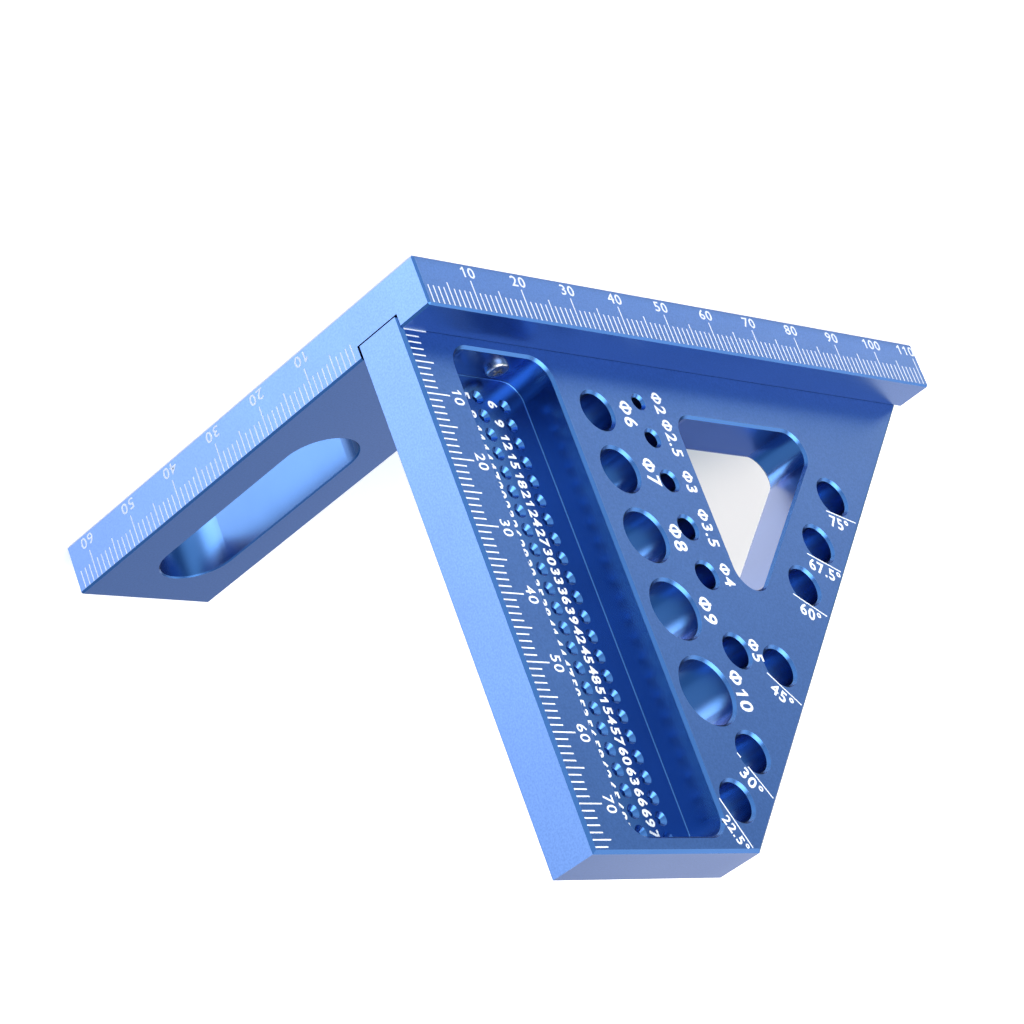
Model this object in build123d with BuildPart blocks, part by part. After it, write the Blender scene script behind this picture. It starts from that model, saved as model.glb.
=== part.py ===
import math
import os
from build123d import *

# Three-way angle square. All lengths in millimetres.
# The tool stands on the flat outer face of its L-frame with the plate upright.
# +X points from the far end of the scale bar to the corner, +Y runs along the arm away from the
# corner, +Z points up the plate. The origin is the centre of the box, on the bottom face.

# L-frame
bar_length = 111.2  # scale bar, along X
arm_length = 78.8  # arm, along Y
bar_width = 20.0
arm_width = 24.7
frame_height = 7.8
edge_break = 0.3
inner_corner_radius = 3.0

# groove for the plate, in the top face of the frame
groove_front = 5.9  # from the front face of the bar
groove_width = 8.25
groove_depth = 2.1

# stadium slot through the arm
slot_width = 12.0
slot_length = 39.7
slot_start = 32.6  # from the front face of the bar
slot_middle = 13.0  # from the corner face of the arm
slot_edge_break = 0.2

# plate
plate_thickness = 8.0
plate_height = 84.7  # top edge, above the outer face of the frame
plate_top_length = 32.8
groove_play = 0.05  # in front of the plate; the rest of the groove's play is behind it
seat_play = 0.2  # under the plate
front_chamfer = 0.45
back_chamfer = 0.2

# pocket in the front face of the plate, positions from the corner side and the bottom
pocket_near = 8.3
pocket_far = 27.5
pocket_bottom = 9.5
pocket_top = 82.3
pocket_depth = 6.1
pocket_radius = 3.5
pocket_chamfer = 0.4
pocket_floor_fillet = 0.2

# scribing holes in the pocket floor: three rows, one hole for every millimetre of the scale
scale_zero = 7.9
scribe_pitch = 3.0
scribe_count = 23
scribe_rows = ((13.0, 4.0), (18.0, 5.0), (23.0, 6.0))  # distance from the corner side, first value
scribe_radius = 0.5
scribe_sink_radius = 1.1

# triangular window with rounded corners
window_near = 51.65
window_bottom = 15.9
window_leg = 32.8
window_radius = 3.3

# drill gauge: diameter, distance from the corner side, height
gauge_large = ((6.0, 34.7, 16.9), (7.0, 34.7, 26.4), (8.0, 34.7, 36.9), (9.0, 34.7, 48.4), (10.0, 34.7, 60.9))
gauge_small = (
    (2.0, 44.6, 14.4),
    (2.5, 44.6, 20.4),
    (3.0, 44.6, 27.4),
    (3.5, 44.6, 34.9),
    (4.0, 44.6, 42.5),
    (5.0, 44.6, 54.4),
)

# angle pin holes along the slanted edge: distance from the corner side, height
pin_hole_diameter = 5.9
pin_holes = ((82.2, 26.8), (73.8, 35.4), (66.3, 42.8), (52.8, 56.4), (39.2, 70.0), (31.9, 77.3))
hole_chamfer = 0.4

# screw through the thin web under the pocket
screw_along = 20.8
screw_across = 9.3  # from the front face of the bar
screw_shank_radius = 1.0
screw_shank_length = 6.0
screw_head_radius = 1.7
screw_head_height = 0.7
screw_head_rim = 0.3
cross_width = 0.4
cross_length = 1.8
cross_depth = 0.35
screw_play = 0.05

half_length = bar_length / 2
half_depth = arm_length / 2
front_y = -half_depth
plate_front_y = front_y + groove_front + groove_play
plate_back_y = plate_front_y + plate_thickness
seat_z = frame_height - groove_depth
plate_bottom_z = seat_z + seat_play
pocket_floor_y = plate_front_y + pocket_depth
slant_sum = plate_top_length + plate_height


def along(distance):
    """X of a point a given distance from the corner face."""
    return half_length - distance


def rim_edges(part, plane_y, near, far, low, high):
    """Edges of the part lying on the plane y = plane_y inside a window."""
    found = []
    for edge in part.edges():
        box = edge.bounding_box()
        on_plane = abs(box.min.Y - plane_y) < 1e-4 and abs(box.max.Y - plane_y) < 1e-4
        inside_x = along(far) - 1e-3 < box.min.X and box.max.X < along(near) + 1e-3
        inside_z = low - 1e-3 < box.min.Z and box.max.Z < high + 1e-3
        if on_plane and inside_x and inside_z:
            found.append(edge)
    return found


# L-frame: bar and arm in one piece, grooved for the plate, slotted arm
with BuildPart() as l_frame:
    with BuildSketch(Plane.XY):
        with BuildLine():
            Polyline(
                (along(0), front_y),
                (along(bar_length), front_y),
                (along(bar_length), front_y + bar_width),
                (along(arm_width), front_y + bar_width),
                (along(arm_width), half_depth),
                (along(0), half_depth),
                close=True,
            )
        make_face()
        inner = vertices().sort_by_distance((along(arm_width), front_y + bar_width))[0]
        fillet(inner, radius=inner_corner_radius)
    extrude(amount=frame_height)
    chamfer(l_frame.edges(), length=edge_break)
    with BuildSketch(Plane.XY):
        with Locations((along(slot_middle), front_y + slot_start + slot_length / 2)):
            SlotOverall(slot_length, slot_width, rotation=90)
    extrude(amount=frame_height, mode=Mode.SUBTRACT)
    slot_rims = [
        edge
        for edge in l_frame.edges()
        if abs(edge.center().X - along(slot_middle)) < slot_width / 2 + 0.01
        and front_y + slot_start - 0.01 < edge.center().Y < front_y + slot_start + slot_length + 0.01
        and (edge.bounding_box().max.Z < 0.01 or edge.bounding_box().min.Z > frame_height - 0.01)
    ]
    chamfer(slot_rims, length=slot_edge_break)
    with BuildSketch(Plane.XY.offset(frame_height)):
        with Locations((0, front_y + groove_front + groove_width / 2)):
            Rectangle(bar_length, groove_width)
    extrude(amount=-groove_depth, mode=Mode.SUBTRACT)
    with BuildSketch(Plane.XY.offset(seat_z)):
        with Locations((along(screw_along), front_y + screw_across)):
            Circle(screw_shank_radius)
    extrude(amount=-(screw_shank_length - (pocket_bottom - seat_z) + 0.3), mode=Mode.SUBTRACT)
l_frame.part.label = "l_frame"

# Plate: trapezoid with pocket, window, drill gauge and angle pin holes
with BuildPart() as plate:
    with BuildSketch(Plane.XZ.offset(-plate_front_y)):
        with BuildLine():
            Polyline(
                (along(0), plate_bottom_z),
                (along(bar_length - edge_break), plate_bottom_z),
                (along(bar_length - edge_break), slant_sum - bar_length + edge_break),
                (along(plate_top_length), plate_height),
                (along(0), plate_height),
                close=True,
            )
        make_face()
    extrude(amount=-plate_thickness)
    chamfer(rim_edges(plate.part, plate_front_y, 0, bar_length, plate_bottom_z, plate_height), front_chamfer)
    chamfer(rim_edges(plate.part, plate_back_y, 0, bar_length, plate_bottom_z, plate_height), back_chamfer)

    # marking pocket
    with BuildSketch(Plane.XZ.offset(-plate_front_y)):
        with Locations((along((pocket_near + pocket_far) / 2), (pocket_bottom + pocket_top) / 2)):
            RectangleRounded(pocket_far - pocket_near, pocket_top - pocket_bottom, pocket_radius)
    extrude(amount=-pocket_depth, mode=Mode.SUBTRACT)
    chamfer(
        rim_edges(plate.part, plate_front_y, pocket_near, pocket_far, pocket_bottom, pocket_top),
        pocket_chamfer,
    )
    fillet(
        rim_edges(plate.part, pocket_floor_y, pocket_near, pocket_far, pocket_bottom, pocket_top),
        radius=pocket_floor_fillet,
    )

    # triangular window
    with BuildSketch(Plane.XZ.offset(-plate_front_y)):
        with BuildLine():
            Polyline(
                (along(window_near), window_bottom),
                (along(window_near + window_leg), window_bottom),
                (along(window_near), window_bottom + window_leg),
                close=True,
            )
        make_face()
        fillet(vertices(), radius=window_radius)
    extrude(amount=-plate_thickness, mode=Mode.SUBTRACT)

    # drill gauge holes and angle pin holes
    with BuildSketch(Plane.XZ.offset(-plate_front_y)):
        for diameter, distance, height in gauge_large + gauge_small:
            with Locations((along(distance), height)):
                Circle(diameter / 2)
        for distance, height in pin_holes:
            with Locations((along(distance), height)):
                Circle(pin_hole_diameter / 2)
    extrude(amount=-plate_thickness, mode=Mode.SUBTRACT)
    for face_y in (plate_front_y, plate_back_y):
        chamfer(
            rim_edges(plate.part, face_y, pocket_far + 1, bar_length - 8, frame_height + 2, plate_height - 2),
            hole_chamfer,
        )

    # scribing holes in the pocket floor
    with Locations(Plane.XZ.offset(-pocket_floor_y)):
        for distance, first in scribe_rows:
            row = [
                (along(distance), scale_zero + first + index * scribe_pitch) for index in range(scribe_count)
            ]
            with Locations(*row):
                CounterSinkHole(scribe_radius, scribe_sink_radius, plate_thickness, 90)

    # clearance hole for the screw, through the web under the pocket
    with BuildSketch(Plane.XY.offset(plate_bottom_z)):
        with Locations((along(screw_along), front_y + screw_across)):
            Circle(screw_shank_radius + screw_play)
    extrude(amount=pocket_bottom - plate_bottom_z, mode=Mode.SUBTRACT)
plate.part.label = "plate"

# Screw: pan head with a cross recess, shank down through the web into the frame
with BuildPart() as web_screw:
    with BuildSketch(Plane.XY.offset(pocket_bottom)):
        with Locations((along(screw_along), front_y + screw_across)):
            Circle(screw_head_radius)
    extrude(amount=screw_head_height)
    head_top = web_screw.edges().filter_by(GeomType.CIRCLE).sort_by(Axis.Z)[-1]
    fillet(head_top, radius=screw_head_height - screw_head_rim)
    with BuildSketch(Plane.XY.offset(pocket_bottom)):
        with Locations((along(screw_along), front_y + screw_across)):
            Circle(screw_shank_radius)
    extrude(amount=-screw_shank_length)
    with BuildSketch(Plane.XY.offset(pocket_bottom + screw_head_height)):
        with Locations((along(screw_along), front_y + screw_across)):
            Rectangle(cross_length, cross_width)
            Rectangle(cross_width, cross_length)
    extrude(amount=-cross_depth, mode=Mode.SUBTRACT)
web_screw.part.label = "web_screw"

os.makedirs("parts", exist_ok=True)
export_step(l_frame.part, "parts/l_frame.step")
export_step(plate.part, "parts/plate.step")
export_step(web_screw.part, "parts/web_screw.step")
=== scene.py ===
import math

import bmesh
import bpy
from mathutils import Matrix, Vector


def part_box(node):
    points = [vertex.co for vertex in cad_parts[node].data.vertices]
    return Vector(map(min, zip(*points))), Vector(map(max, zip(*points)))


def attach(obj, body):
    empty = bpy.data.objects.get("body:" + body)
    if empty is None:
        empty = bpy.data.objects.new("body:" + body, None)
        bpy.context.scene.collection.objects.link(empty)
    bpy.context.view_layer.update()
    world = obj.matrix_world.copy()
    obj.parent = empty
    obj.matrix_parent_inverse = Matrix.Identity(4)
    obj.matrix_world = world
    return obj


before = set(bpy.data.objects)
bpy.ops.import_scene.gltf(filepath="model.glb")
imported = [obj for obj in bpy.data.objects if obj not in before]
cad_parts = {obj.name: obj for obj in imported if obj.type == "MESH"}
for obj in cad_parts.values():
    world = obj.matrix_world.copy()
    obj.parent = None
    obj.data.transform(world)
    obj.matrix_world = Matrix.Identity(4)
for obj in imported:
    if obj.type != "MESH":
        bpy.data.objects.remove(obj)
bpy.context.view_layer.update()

# Lengths below are in millimetres in the tool's own terms: a is the distance from the corner face
# along the scale bar, b is the distance from the bar's front face, c is the height above the base.
MM = 0.001
frame_low, frame_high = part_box("l_frame")
plate_low, plate_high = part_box("plate")
CORNER_X = frame_high.x
FRONT_Y = frame_low.y
BAR_LENGTH = (frame_high.x - frame_low.x) / MM
FRAME_HEIGHT = (frame_high.z - frame_low.z) / MM
PLATE_FRONT = (plate_low.y - frame_low.y) / MM
PLATE_HEIGHT = plate_high.z / MM
PLATE_TOP_LENGTH = 32.8
BAR_WIDTH = 20.0
ARM_WIDTH = 24.7
POCKET_DEPTH = 6.1
POCKET_FLOOR = PLATE_FRONT + POCKET_DEPTH

# directions in the row frame
ALONG_BAR = Vector((-1, 0, 0))
ALONG_ARM = Vector((0, 1, 0))
UP = Vector((0, 0, 1))

# depth of the marks' solids below the surface, and how far they stand proud of it
MARK_SINK = 0.05
MARK_PROUD = 0.015
WELD_DISTANCE = 1e-7


def spot(a, b, c):
    """Point of the row frame, in metres, from the tool's own distances in millimetres."""
    return Vector((CORNER_X - a * MM, FRONT_Y + b * MM, c * MM))


# ---------------------------------------------------------------- white marks


class Marks:
    """One mesh of thin closed solids, let into the surface and a hair proud of it."""

    def __init__(self, name, sink=MARK_SINK):
        self.name = name
        self.sink = sink
        self.bm = bmesh.new()

    def bar(self, start, end, width, normal):
        """A line mark from start to end, width in millimetres."""
        run = (end - start).normalized()
        side = normal.cross(run) * (width * MM / 2)
        low = [start - side, end - side, end + side, start + side]
        self.prism(low, normal)

    def prism(self, outline, normal):
        """A thin solid over a flat outline that runs anticlockwise seen from outside."""
        bottom = [self.bm.verts.new(p - normal * self.sink * MM) for p in outline]
        top = [self.bm.verts.new(p + normal * MARK_PROUD * MM) for p in outline]
        self.bm.faces.new(top)
        self.bm.faces.new(bottom[::-1])
        count = len(outline)
        for i in range(count):
            j = (i + 1) % count
            self.bm.faces.new((bottom[i], bottom[j], top[j], top[i]))

    def text(self, words, centre, reading, up, height, stretch=1.0, bold=0.0):
        """A label centred on a point: height of its digits in millimetres, width times stretch."""
        normal = reading.cross(up)
        scale = height * MM / DIGIT_HEIGHT
        places, width = [], 0.0
        for char in words:
            places.append((char, width))
            width += ADVANCE.get(char, DIGIT_ADVANCE)
        origin = centre - reading * (width / 2 * scale * stretch) - up * (DIGIT_HEIGHT / 2 * scale)
        for char, offset in places:
            verts, faces = glyph(char, bold)
            made = []
            for v in verts:
                rise = MARK_PROUD if v.z > 0 else -self.sink
                across = reading * ((v.x + offset) * scale * stretch)
                made.append(self.bm.verts.new(origin + across + up * (v.y * scale) + normal * rise * MM))
            for face in faces:
                self.bm.faces.new([made[i] for i in face])

    def finish(self, material):
        bmesh.ops.remove_doubles(self.bm, verts=self.bm.verts, dist=WELD_DISTANCE)
        bmesh.ops.recalc_face_normals(self.bm, faces=self.bm.faces)
        mesh = bpy.data.meshes.new(self.name)
        self.bm.to_mesh(mesh)
        self.bm.free()
        mesh.materials.append(material)
        piece = bpy.data.objects.new(self.name, mesh)
        bpy.context.scene.collection.objects.link(piece)
        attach(piece, "root")


# glyphs are drawn in ems, as the built-in font is
DIGIT_HEIGHT = 0.7
DIGIT_ADVANCE = 0.56
ADVANCE = {".": 0.28, "°": 0.36, "Φ": 0.80}
STROKE = 0.085
ONE_STEM = (0.26, 0.26 + STROKE)
PHI_CENTRE = (0.39, 0.35)
PHI_RADII = (0.30, 0.275)
PHI_STEM = (-0.01, 0.71)
RING_STEPS = 12
ONE_TOP = 0.8  # top of the one's stem, in stroke widths
ONE_FLAG = 0.15  # reach of the flag to the left of the stem, and its drop from the top
_glyphs = {}


def solid(outline):
    """A thin closed solid over a flat outline given anticlockwise."""
    count = len(outline)
    verts = [Vector((x, y, z)) for z in (-0.5, 0.5) for x, y in outline]
    faces = [tuple(range(count, 2 * count)), tuple(range(count - 1, -1, -1))]
    faces += [(i, (i + 1) % count, count + (i + 1) % count, count + i) for i in range(count)]
    return verts, faces


def digit_one(bold):
    """A one with a flag: a plain stem and a short slanting stroke."""
    left, right = ONE_STEM[0] - bold, ONE_STEM[1] + bold
    thick = STROKE + 2 * bold
    outline = [
        (left, 0.0),
        (right, 0.0),
        (right, DIGIT_HEIGHT),
        (right - thick * ONE_TOP, DIGIT_HEIGHT),
        (left - 0.6 * ONE_FLAG, DIGIT_HEIGHT - 0.8 * ONE_FLAG),
        (left - ONE_FLAG, DIGIT_HEIGHT - 0.14),
        (left - ONE_FLAG, DIGIT_HEIGHT - ONE_FLAG - thick),
        (left, DIGIT_HEIGHT - 0.4 * ONE_FLAG - thick),
    ]
    return solid(outline)


def phi(bold):
    """Two half rings and an upright stem between them."""
    cx, cy = PHI_CENTRE
    half = STROKE / 2 + bold
    low, high = PHI_STEM
    verts, faces = solid([(cx - half, low), (cx + half, low), (cx + half, high), (cx - half, high)])
    radii = [(PHI_RADII[0] + bold, PHI_RADII[1] + bold)]
    radii.append((radii[0][0] - 2 * half, radii[0][1] - 2 * half))
    for side in (1, -1):
        outline = []
        for order, (rx, ry) in zip((1, -1), radii):
            reach = math.acos(half / rx)
            turns = [order * reach * (2 * i / RING_STEPS - 1) for i in range(RING_STEPS + 1)]
            outline += [(cx + side * rx * math.cos(turn), cy + ry * math.sin(turn)) for turn in turns]
        if side < 0:
            outline.reverse()
        more_verts, more_faces = solid(outline)
        faces += [tuple(i + len(verts) for i in face) for face in more_faces]
        verts += more_verts
    return verts, faces


def font_glyph(char, bold):
    """A character of the built-in font, as vertices and faces of a thin closed solid."""
    curve = bpy.data.curves.new("glyph", "FONT")
    curve.body = char
    curve.size = 1.0
    curve.extrude = 0.5
    curve.offset = bold
    curve.resolution_u = 3
    holder = bpy.data.objects.new("glyph", curve)
    bpy.context.scene.collection.objects.link(holder)
    mesh = bpy.data.meshes.new_from_object(holder)
    verts = [v.co.copy() for v in mesh.vertices]
    faces = [tuple(p.vertices) for p in mesh.polygons]
    bpy.data.objects.remove(holder)
    bpy.data.meshes.remove(mesh)
    bpy.data.curves.remove(curve)
    return verts, faces


def glyph(char, bold):
    """Vertices and faces of one character as a thin closed solid."""
    key = (char, bold)
    if key not in _glyphs:
        special = {"1": digit_one, "Φ": phi}
        _glyphs[key] = special[char](bold) if char in special else font_glyph(char, bold)
    return _glyphs[key]


# ---------------------------------------------------------------- materials


def node(tree, kind, x, y, **values):
    """A new node of a tree, with its place in the editor and its settings."""
    made = tree.nodes.new(kind)
    made.location = (x, y)
    for key, value in values.items():
        setattr(made, key, value)
    return made


def mix(tree, kind, factor, a, b, x, y):
    """Blend two values or colours by a factor."""
    blend = node(tree, "ShaderNodeMix", x, y, data_type=kind)
    tree.links.new(factor, blend.inputs["Factor"])
    for name, value in (("A", a), ("B", b)):
        socket = next(i for i in blend.inputs if i.name == name and i.enabled)
        if isinstance(value, bpy.types.NodeSocket):
            tree.links.new(value, socket)
        else:
            socket.default_value = value
    return next(o for o in blend.outputs if o.enabled)


def ramp(tree, factor, low, high, x, y):
    """Colour ramp over the middle of a noise."""
    tint = node(tree, "ShaderNodeValToRGB", x, y)
    tint.color_ramp.elements[0].position = 0.3
    tint.color_ramp.elements[0].color = (*low, 1)
    tint.color_ramp.elements[1].position = 0.7
    tint.color_ramp.elements[1].color = (*high, 1)
    tree.links.new(factor, tint.inputs["Fac"])
    return tint.outputs["Color"]


def outer_skin(tree, place, planes):
    """1 on faces within reach of the given planes, and 0 elsewhere, as in holes and on chamfers."""
    total = None
    for row, (normal, point, reach) in enumerate(planes):
        along = node(tree, "ShaderNodeVectorMath", -1900, -160 * row, operation="DOT_PRODUCT")
        along.inputs[1].default_value = normal
        tree.links.new(place.outputs["Object"], along.inputs[0])
        on = node(tree, "ShaderNodeMath", -1700, -160 * row, operation="COMPARE")
        on.inputs[1].default_value = Vector(normal).dot(point)
        on.inputs[2].default_value = reach * MM
        tree.links.new(along.outputs["Value"], on.inputs[0])
        if total is None:
            total = on.outputs["Value"]
            continue
        either = node(tree, "ShaderNodeMath", -1500 + 30 * row, -160 * row, operation="MAXIMUM")
        tree.links.new(total, either.inputs[0])
        tree.links.new(on.outputs["Value"], either.inputs[1])
        total = either.outputs["Value"]
    return total


# blue anodised metal: dark and light of its grain, roughness, and bump of the blasted skin
BLASTED_BLUES = ((0.042, 0.160, 0.46), (0.064, 0.205, 0.56))
CUT_BLUES = ((0.024, 0.135, 0.40), (0.032, 0.155, 0.45))
BLASTED_ROUGHNESS = (0.29, 0.40)
CUT_ROUGHNESS = 0.25
CUT_BUMP = 0.02
BLASTED_EXTRA_BUMP = 0.08


def anodised(name, planes):
    """Blue anodised aluminium, bead-blasted outside and bright where it was cut after that."""
    material = bpy.data.materials.new(name)
    material.use_nodes = True
    tree = material.node_tree
    shader = tree.nodes["Principled BSDF"]
    shader.inputs["Metallic"].default_value = 1.0
    shader.inputs["Coat Weight"].default_value = 0.75
    shader.inputs["Coat Roughness"].default_value = 0.35
    place = node(tree, "ShaderNodeTexCoord", -2100, 0)
    skin = outer_skin(tree, place, planes)
    blast = node(tree, "ShaderNodeTexNoise", -1100, 200)
    blast.inputs["Scale"].default_value = 3600
    blast.inputs["Detail"].default_value = 2.0
    cloud = node(tree, "ShaderNodeTexNoise", -1100, -100)
    cloud.inputs["Scale"].default_value = 90
    cloud.inputs["Detail"].default_value = 3.0
    for texture in (blast, cloud):
        tree.links.new(place.outputs["Object"], texture.inputs["Vector"])
    blasted = ramp(tree, blast.outputs["Fac"], *BLASTED_BLUES, -850, 250)
    cut = ramp(tree, cloud.outputs["Fac"], *CUT_BLUES, -850, 0)
    colour = mix(tree, "RGBA", skin, cut, blasted, -550, 150)
    tree.links.new(colour, shader.inputs["Base Color"])
    worn = node(tree, "ShaderNodeMapRange", -850, -250)
    worn.inputs["To Min"].default_value, worn.inputs["To Max"].default_value = BLASTED_ROUGHNESS
    tree.links.new(cloud.outputs["Fac"], worn.inputs["Value"])
    gloss = mix(tree, "FLOAT", skin, CUT_ROUGHNESS, worn.outputs["Result"], -550, -150)
    tree.links.new(gloss, shader.inputs["Roughness"])
    grain = node(tree, "ShaderNodeMath", -850, -500, operation="MULTIPLY_ADD")
    grain.inputs[1].default_value = BLASTED_EXTRA_BUMP
    grain.inputs[2].default_value = CUT_BUMP
    tree.links.new(skin, grain.inputs[0])
    bump = node(tree, "ShaderNodeBump", -350, -300)
    bump.inputs["Distance"].default_value = 0.02 * MM
    tree.links.new(grain.outputs["Value"], bump.inputs["Strength"])
    tree.links.new(blast.outputs["Fac"], bump.inputs["Height"])
    tree.links.new(bump.outputs["Normal"], shader.inputs["Normal"])
    return material


def steel():
    """Bright steel of the screw, with fine turning marks."""
    material = bpy.data.materials.new("screw_steel")
    material.use_nodes = True
    tree = material.node_tree
    shader = tree.nodes["Principled BSDF"]
    shader.inputs["Metallic"].default_value = 1.0
    place = node(tree, "ShaderNodeTexCoord", -900, 0)
    wear = node(tree, "ShaderNodeTexNoise", -700, 0)
    wear.inputs["Scale"].default_value = 2500
    wear.inputs["Detail"].default_value = 4.0
    tree.links.new(place.outputs["Object"], wear.inputs["Vector"])
    tint = node(tree, "ShaderNodeValToRGB", -450, 150)
    tint.color_ramp.elements[0].color = (0.50, 0.52, 0.55, 1)
    tint.color_ramp.elements[1].color = (0.66, 0.68, 0.72, 1)
    tree.links.new(wear.outputs["Fac"], tint.inputs["Fac"])
    tree.links.new(tint.outputs["Color"], shader.inputs["Base Color"])
    gloss = node(tree, "ShaderNodeMapRange", -450, -100)
    gloss.inputs["To Min"].default_value = 0.22
    gloss.inputs["To Max"].default_value = 0.36
    tree.links.new(wear.outputs["Fac"], gloss.inputs["Value"])
    tree.links.new(gloss.outputs["Result"], shader.inputs["Roughness"])
    return material


def marking(name, dark, light):
    """Matt pale laser marks, slightly uneven."""
    material = bpy.data.materials.new(name)
    material.use_nodes = True
    tree = material.node_tree
    shader = tree.nodes["Principled BSDF"]
    shader.inputs["Roughness"].default_value = 0.7
    shader.inputs["Specular IOR Level"].default_value = 0.3
    place = node(tree, "ShaderNodeTexCoord", -900, 0)
    grain = node(tree, "ShaderNodeTexNoise", -700, 0)
    grain.inputs["Scale"].default_value = 6000
    tree.links.new(place.outputs["Object"], grain.inputs["Vector"])
    tint = node(tree, "ShaderNodeValToRGB", -450, 0)
    tint.color_ramp.elements[0].position = 0.25
    tint.color_ramp.elements[0].color = (*dark, 1)
    tint.color_ramp.elements[1].position = 0.6
    tint.color_ramp.elements[1].color = (*light, 1)
    tree.links.new(grain.outputs["Fac"], tint.inputs["Fac"])
    tree.links.new(tint.outputs["Color"], shader.inputs["Base Color"])
    return material


X_AXIS, Y_AXIS, Z_AXIS = (1, 0, 0), (0, 1, 0), (0, 0, 1)
SLANT = Vector((-1, 0, 1)).normalized()
SKIN = 0.01  # how far from its plane a face still counts as blasted
frame_planes = (
    (X_AXIS, frame_low, SKIN),
    (X_AXIS, spot(ARM_WIDTH, 0, 0), SKIN),
    (X_AXIS, frame_high, SKIN),
    (Y_AXIS, frame_low, SKIN),
    (Y_AXIS, spot(0, BAR_WIDTH, 0), SKIN),
    (Y_AXIS, frame_high, SKIN),
    (Z_AXIS, frame_low, SKIN),
    (Z_AXIS, frame_high, SKIN),
)
plate_planes = (
    (X_AXIS, plate_low, SKIN),
    (X_AXIS, plate_high, SKIN),
    (Y_AXIS, plate_low, SKIN),
    (Y_AXIS, plate_high, SKIN),
    (Z_AXIS, plate_high, SKIN),
    (SLANT, spot(PLATE_TOP_LENGTH, 0, PLATE_HEIGHT), SKIN),
)
# one white laser mark in three copies: the bar's and the arm's are darker and bluer than the plate's,
# painted shade of those faces
bar_marks_painted_shade = marking("marking_bar_painted_shade", (0.60, 0.68, 0.80), (0.70, 0.78, 0.90))
arm_marks_painted_shade = marking("marking_arm_painted_shade", (0.57, 0.66, 0.88), (0.67, 0.76, 0.96))
plate_white = marking("marking_plate", (0.74, 0.82, 0.90), (0.84, 0.92, 0.98))
finishes = {
    "l_frame": anodised("anodised_frame", frame_planes),
    "plate": anodised("anodised_plate", plate_planes),
    "web_screw": steel(),
}
for name, material in finishes.items():
    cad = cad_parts[name]
    cad.data.materials.clear()
    cad.data.materials.append(material)

# ---------------------------------------------------------------- scales and labels

LINE = 0.2  # width of a line mark
FRONT = -ALONG_ARM  # outward normal of the bar's scale face and of the plate's front
SIDE = -ALONG_BAR  # outward normal of the long corner face of the arm


def scale_length(value, short, middle, long):
    """Length of a tick: long at tens, middle at fives."""
    if value % 10 == 0:
        return long
    return middle if value % 5 == 0 else short


# bar scale: ticks rise from the edge by the plate, numbers near the base edge
BAR_EDGE = FRAME_HEIGHT - 0.33
LAST_NUMBER_AT = 108.8  # the 110 is moved in to stay on the bar
bar_ticks = Marks("bar_scale_ticks")
for value in range(1, 111):
    tall = scale_length(value, 2.8, 3.7, 4.65)
    bar_ticks.bar(spot(value, 0, BAR_EDGE), spot(value, 0, BAR_EDGE - tall), LINE, FRONT)
bar_ticks.finish(bar_marks_painted_shade)
bar_numbers = Marks("bar_scale_numbers")
for value in range(10, 120, 10):
    at = LAST_NUMBER_AT if value == 110 else value
    bar_numbers.text(str(value), spot(at, 0, 1.5), ALONG_BAR, -UP, 1.65, stretch=1.18, bold=0.01)
bar_numbers.finish(bar_marks_painted_shade)

# arm scale: zero at the back of the plate
ARM_ZERO = 14.25
arm_ticks = Marks("arm_scale_ticks")
for value in range(1, 64):
    tall = scale_length(value, 2.75, 3.65, 4.55)
    place_b = ARM_ZERO + value
    arm_ticks.bar(spot(0, place_b, BAR_EDGE), spot(0, place_b, BAR_EDGE - tall), LINE, SIDE)
arm_ticks.finish(arm_marks_painted_shade)
arm_numbers = Marks("arm_scale_numbers")
for value in range(10, 70, 10):
    centre = spot(0, ARM_ZERO + value, 1.45)
    arm_numbers.text(str(value), centre, ALONG_ARM, UP, 1.6, stretch=1.22, bold=0.01)
arm_numbers.finish(arm_marks_painted_shade)

# plate scale: zero at the bar
PLATE_ZERO = 7.9
TICK_START = 0.45
plate_ticks = Marks("plate_scale_ticks")
for value in range(77):
    reach = scale_length(value, 2.85, 3.87, 4.68)
    height = PLATE_ZERO + value
    plate_ticks.bar(spot(TICK_START, PLATE_FRONT, height), spot(reach, PLATE_FRONT, height), LINE, FRONT)
plate_ticks.finish(plate_white)
plate_numbers = Marks("plate_scale_numbers")
for value in range(10, 80, 10):
    centre = spot(6.23, PLATE_FRONT, PLATE_ZERO + value + 0.1)
    plate_numbers.text(str(value), centre, UP, ALONG_BAR, 1.8, bold=0.008)
plate_numbers.finish(plate_white)

# drill gauge labels: diameter, a, c, digit height
GAUGE_LABELS = (
    ("Φ6", 41.1, 16.8, 2.5),
    ("Φ7", 41.2, 26.2, 2.5),
    ("Φ8", 41.3, 36.8, 2.5),
    ("Φ9", 41.5, 48.3, 2.5),
    ("Φ10", 41.8, 60.7, 2.5),
    ("Φ2", 49.0, 14.2, 2.1),
    ("Φ2.5", 49.0, 20.0, 2.1),
    ("Φ3", 49.0, 27.2, 2.1),
    ("Φ3.5", 49.0, 34.7, 2.1),
    ("Φ4", 49.0, 42.2, 2.1),
    ("Φ5", 48.6, 54.2, 2.1),
)
gauge_labels = Marks("gauge_labels")
for words, a, c, size in GAUGE_LABELS:
    gauge_labels.text(words, spot(a, PLATE_FRONT, c), UP, ALONG_BAR, size, bold=0.02)
gauge_labels.finish(plate_white)

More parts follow.
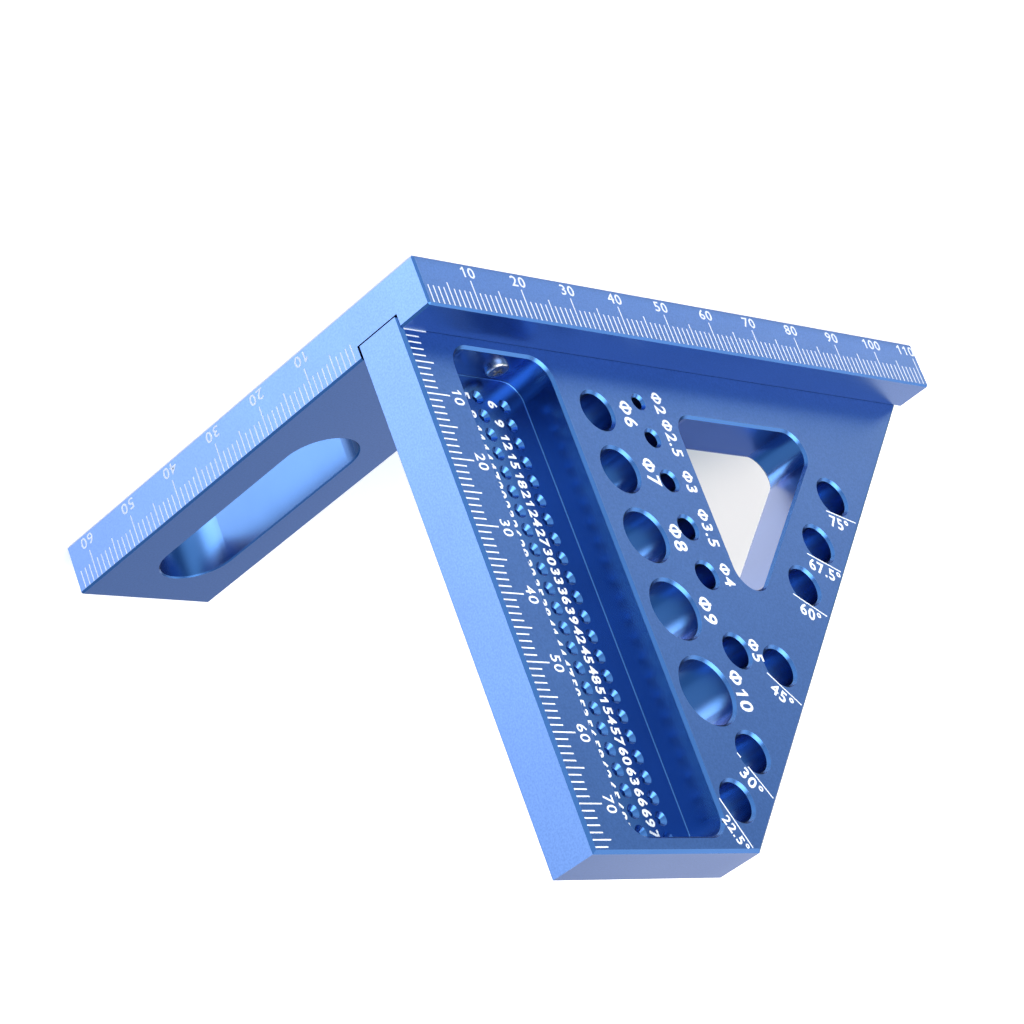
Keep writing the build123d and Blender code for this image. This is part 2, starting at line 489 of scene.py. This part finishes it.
# angle lines run past the pin holes, over their chamfered rims as far in as the marked radius:
# angle from the upright, hole centre, distance of the line from it, start and end of the line
# measured along it from the hole centre, shift of the label along the line, label size
MARKED_RADIUS = 3.2
ANGLES = (
    (22.5, 31.9, 77.3, 3.2, -1.7, 6.1, 1.0, 1.6),
    (30.0, 39.2, 70.0, 3.1, -1.6, 6.2, 0.1, 2.0),
    (45.0, 52.8, 56.4, 3.4, -1.7, 5.2, 0.0, 2.0),
    (60.0, 66.3, 42.8, 3.2, -2.4, 4.4, 0.1, 2.0),
    (67.5, 73.8, 35.4, 3.2, -2.8, 4.1, 0.0, 2.0),
    (75.0, 82.2, 26.8, 3.3, -2.3, 4.1, -0.8, 2.0),
)
LABEL_GAP = 0.55
angle_lines = Marks("angle_lines", sink=0.2)
angle_labels = Marks("angle_labels")
for degrees, a, c, away, first, last, shift, size in ANGLES:
    turn = math.radians(degrees)
    reading = UP * math.cos(turn) + ALONG_BAR * math.sin(turn)
    up = ALONG_BAR * math.cos(turn) - UP * math.sin(turn)
    foot = spot(a, PLATE_FRONT, c) - up * away * MM
    half_gap = math.sqrt(max(MARKED_RADIUS**2 - away**2, 0.0))
    stretches = ((first, -half_gap), (half_gap, last)) if half_gap else ((first, last),)
    for low, high in stretches:
        angle_lines.bar(foot + reading * low * MM, foot + reading * high * MM, LINE, FRONT)
    centre = foot + reading * ((first + last) / 2 + shift) * MM - up * (LABEL_GAP + size / 2) * MM
    angle_labels.text(f"{degrees:g}°", centre, reading, up, size, bold=0.018)
angle_lines.finish(plate_white)
angle_labels.finish(plate_white)

# scribing hole labels in the pocket: hole column, first value, label offset
SCRIBE_ROWS = ((13.0, 4), (18.0, 5), (23.0, 6))
scribe_labels = Marks("scribe_labels")
for a, first in SCRIBE_ROWS:
    for value in range(first, 73, 3):
        centre = spot(a - 2.4, POCKET_FLOOR, PLATE_ZERO + value)
        scribe_labels.text(str(value), centre, UP, ALONG_BAR, 1.6, stretch=1.1, bold=0.03)
scribe_labels.finish(plate_white)

# ---------------------------------------------------------------- stage, light, camera


def sheet(name, corners, material_name, base, roughness=None):
    """A flat stage piece over four corners; returns it with its material's tree."""
    mesh = bpy.data.meshes.new(name)
    mesh.from_pydata(corners, [], [(0, 1, 2, 3)])
    piece = bpy.data.objects.new(name, mesh)
    bpy.context.scene.collection.objects.link(piece)
    material = bpy.data.materials.new(material_name)
    material.use_nodes = True
    shader = material.node_tree.nodes["Principled BSDF"]
    shader.inputs["Base Color"].default_value = (*base, 1)
    if roughness is not None:
        shader.inputs["Roughness"].default_value = roughness
    mesh.materials.append(material)
    return piece, material.node_tree


# white floor, with a painted shadow behind the window where the tool shades it: a soft grey patch where
# the floor's glow fades out
FLOOR_HALF = 6.0
FLOOR_WHITE = (0.87, 0.84, 0.8)
MATT = 0.9
FLOOR_GLOW = 0.62
SHADE_GLOW = 0.0
SHADE_AT = (118, 60, 0)
SHADE_TURN = 133  # degrees
SHADE_RADII = (90, 44, 1000)
SHADE_CORE = 0.7  # share of the way to the middle at which the painted shadow is full
floor_corners = [(x * FLOOR_HALF, y * FLOOR_HALF, 0) for x, y in ((-1, -1), (1, -1), (1, 1), (-1, 1))]
floor, floor_tree = sheet("floor", floor_corners, "floor_white", FLOOR_WHITE, MATT)
floor_shader = floor_tree.nodes["Principled BSDF"]
floor_shader.inputs["Emission Color"].default_value = (1, 1, 1, 1)
floor_place = node(floor_tree, "ShaderNodeTexCoord", -1000, 0)
floor_shift = node(floor_tree, "ShaderNodeMapping", -800, 0, vector_type="TEXTURE")
floor_shift.inputs["Location"].default_value = spot(*SHADE_AT)
floor_shift.inputs["Rotation"].default_value = (0, 0, math.radians(SHADE_TURN))
floor_shift.inputs["Scale"].default_value = [radius * MM for radius in SHADE_RADII]
# painted shadow: over this soft patch the floor's glow falls from FLOOR_GLOW to SHADE_GLOW
floor_shade = node(floor_tree, "ShaderNodeTexGradient", -600, 0, gradient_type="SPHERICAL")
floor_glow = node(floor_tree, "ShaderNodeMapRange", -400, 0, interpolation_type="SMOOTHSTEP")
floor_glow.inputs["From Max"].default_value = SHADE_CORE
floor_glow.inputs["To Min"].default_value = FLOOR_GLOW
floor_glow.inputs["To Max"].default_value = SHADE_GLOW
floor_tree.links.new(floor_place.outputs["Object"], floor_shift.inputs["Vector"])
floor_tree.links.new(floor_shift.outputs["Vector"], floor_shade.inputs["Vector"])
floor_tree.links.new(floor_shade.outputs["Fac"], floor_glow.inputs["Value"])
floor_tree.links.new(floor_glow.outputs["Result"], floor_shader.inputs["Emission Strength"])
floor.visible_glossy = False

# a white card on the floor along the bar brightens its scale face
CARD_WIDTH = 12
CARD_GAP = 1
CARD_LIFT = 0.2
CARD_PAST_BAR = 20
card_corners = [
    spot(BAR_LENGTH + CARD_PAST_BAR, -CARD_WIDTH - CARD_GAP, CARD_LIFT),
    spot(0, -CARD_WIDTH - CARD_GAP, CARD_LIFT),
    spot(0, -CARD_GAP, CARD_LIFT),
    spot(BAR_LENGTH + CARD_PAST_BAR, -CARD_GAP, CARD_LIFT),
]
card, card_tree = sheet("card", card_corners, "card_white", (0.9, 0.9, 0.9))
card_shader = card_tree.nodes["Principled BSDF"]
card_shader.inputs["Emission Color"].default_value = (1.0, 0.9, 0.75, 1)
card_shader.inputs["Emission Strength"].default_value = 0.4

# painted shade: a dark flag behind the window is mirrored in its upper wall and darkens that reflection
# where there is only shade; only reflections show it
PAINTED_SHADE_ALONG = (85, 150)
PAINTED_SHADE_BEHIND = 40
PAINTED_SHADE_HEIGHTS = (16, 70)
painted_shade_corners = [
    spot(PAINTED_SHADE_ALONG[0], PAINTED_SHADE_BEHIND, PAINTED_SHADE_HEIGHTS[0]),
    spot(PAINTED_SHADE_ALONG[1], PAINTED_SHADE_BEHIND, PAINTED_SHADE_HEIGHTS[0]),
    spot(PAINTED_SHADE_ALONG[1], PAINTED_SHADE_BEHIND, PAINTED_SHADE_HEIGHTS[1]),
    spot(PAINTED_SHADE_ALONG[0], PAINTED_SHADE_BEHIND, PAINTED_SHADE_HEIGHTS[1]),
]
# the painted shade sheet, seen only in glossy reflections
flag, _ = sheet("flag", painted_shade_corners, "painted_shade_grey", (0.22, 0.27, 0.45), MATT)
flag.visible_camera = False
flag.visible_diffuse = False
flag.visible_shadow = False
flag.visible_transmission = False

scene = bpy.context.scene

# glow of the studio around the tool: direction, full within and gone beyond (degrees), radiance, tint
WARM = (1.4, 1.0, 0.85)
PALE = (1.15, 1.0, 0.9)
GLOWS = (
    ((0.8, 0.15, -0.55), 5, 40, 3.0, WARM),  # key panel at the arm's side
    ((0.6, 0.3, -0.75), 5, 45, 2.0, WARM),
    ((0.65, -0.65, -0.4), 5, 50, 1.0, PALE),
    ((-0.7, -0.4, -0.6), 5, 30, 1.0, PALE),
    ((-0.75, -0.4, 0.55), 5, 25, 1.5, PALE),
    ((0.15, -0.75, 0.6), 10, 30, 5.0, PALE),  # small bright panel that lights the rims of the holes
    ((0.1, -0.6, 0.8), 5, 45, 0.5, PALE),
    ((0, 0, -1), 10, 60, 1.0, PALE),  # pale floor, as the metal mirrors it
    ((-0.4, 0.55, -0.75), 5, 45, 0.5, WARM),
    ((0.75, 0.55, 0.4), 5, 45, 0.5, PALE),
    ((-0.9, 0.4, 0.2), 5, 20, 1.0, PALE),
    ((-0.65, 0.6, 0.4), 5, 35, 0.25, WARM),  # faint far wall, mirrored in the faces that look up
)
AMBIENT = (0.1, 0.25, 0.4)


def studio_world():
    """Dim blue surroundings with soft glows where the studio's panels and pale walls stand."""
    world = bpy.data.worlds.new("studio")
    world.use_nodes = True
    tree = world.node_tree
    background = tree.nodes["Background"]
    place = node(tree, "ShaderNodeTexCoord", -1200, 0)
    total = None
    for row, (direction, inner, outer, glow, tint) in enumerate(GLOWS):
        towards = node(tree, "ShaderNodeVectorMath", -1000, -200 * row, operation="DOT_PRODUCT")
        towards.inputs[1].default_value = Vector(direction).normalized()
        tree.links.new(place.outputs["Generated"], towards.inputs[0])
        fade = node(tree, "ShaderNodeMapRange", -800, -200 * row, interpolation_type="SMOOTHSTEP")
        fade.inputs["From Min"].default_value = math.cos(math.radians(outer))
        fade.inputs["From Max"].default_value = math.cos(math.radians(inner))
        tree.links.new(towards.outputs["Value"], fade.inputs["Value"])
        add = node(tree, "ShaderNodeVectorMath", -600 + 50 * row, -200 * row, operation="MULTIPLY_ADD")
        tree.links.new(fade.outputs["Result"], add.inputs[0])
        add.inputs[1].default_value = [glow * channel for channel in tint]
        if total:
            tree.links.new(total, add.inputs[2])
        else:
            add.inputs[2].default_value = AMBIENT
        total = add.outputs["Vector"]
    tree.links.new(total, background.inputs["Color"])
    return world


scene.world = studio_world()


def softbox(name, at, target, size, power):
    """A rectangular area lamp aimed at a point; metres and watts."""
    light = bpy.data.lights.new(name, "AREA")
    light.shape = "RECTANGLE"
    light.size, light.size_y = size
    light.energy = power
    lamp = bpy.data.objects.new(name, light)
    lamp.location = at
    lamp.rotation_mode = "QUATERNION"
    lamp.rotation_quaternion = (Vector(at) - Vector(target)).to_track_quat("Z", "Y")
    scene.collection.objects.link(lamp)
    return lamp


softbox("overhead", (0.0, 0.0, 1.1), (0, 0, 0), (1.6, 1.6), 1.4)

# the picture's up is the tool's down, as the tool hangs upside down in it
CAMERA_AT = spot(-304.0, -236.75, 201.17)
CAMERA_FORWARD = Vector((-0.72834, 0.5658, -0.38651))
CAMERA_UP = Vector((0.07031, -0.49939, -0.86352))
SENSOR_WIDTH = 36.0
LENS = 115.26
camera_data = bpy.data.cameras.new("camera")
camera_data.sensor_width = SENSOR_WIDTH
camera_data.lens = LENS
camera_data.clip_start = 0.01
camera_data.clip_end = 50.0
camera = bpy.data.objects.new("camera", camera_data)
right = CAMERA_FORWARD.cross(CAMERA_UP).normalized()
up_axis = right.cross(CAMERA_FORWARD).normalized()
back = -CAMERA_FORWARD.normalized()
camera.matrix_world = Matrix(
    (
        (right.x, up_axis.x, back.x, CAMERA_AT.x),
        (right.y, up_axis.y, back.y, CAMERA_AT.y),
        (right.z, up_axis.z, back.z, CAMERA_AT.z),
        (0, 0, 0, 1),
    )
)
scene.collection.objects.link(camera)
scene.camera = camera
scene.view_settings.view_transform = "Standard"
scene.view_settings.look = "None"
